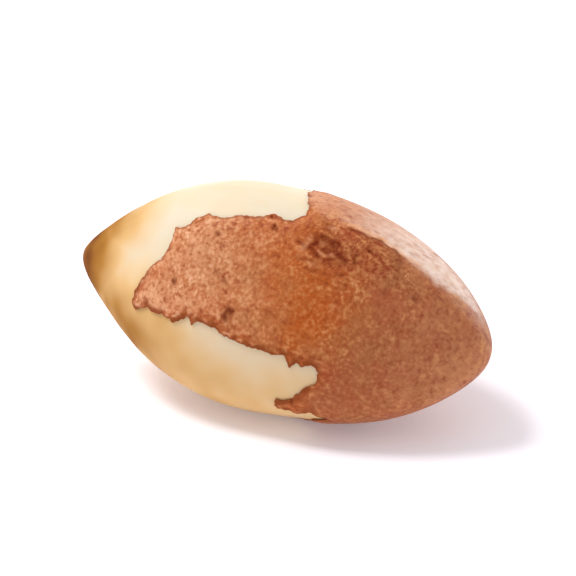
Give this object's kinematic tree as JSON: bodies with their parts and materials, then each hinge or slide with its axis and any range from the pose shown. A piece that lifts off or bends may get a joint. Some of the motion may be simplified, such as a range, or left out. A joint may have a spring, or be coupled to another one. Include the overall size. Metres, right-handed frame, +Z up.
{
  "type": "shelled brazil nut",
  "caption": "Shelled Brazil nut lying on its side: a long, softly three-sided ivory kernel, its brown seed coat torn off one end.",
  "frame": {"origin": "on the surface that the nut lies on, under the middle of its box", "axes": "+X along the nut towards its skinned end, -Y its front, +Z up"},
  "size_m": [0.0358, 0.0192, 0.0178],
  "materials": {
    "kernel_flesh": "smooth waxy ivory nut flesh, tan towards the tips",
    "seed_coat": "thin dry reddish brown seed coat, finely granular, low sheen"
  },
  "bodies": {
    "root": {"kernel": "kernel_flesh", "skin": "seed_coat"}
  },
  "joints": []
}
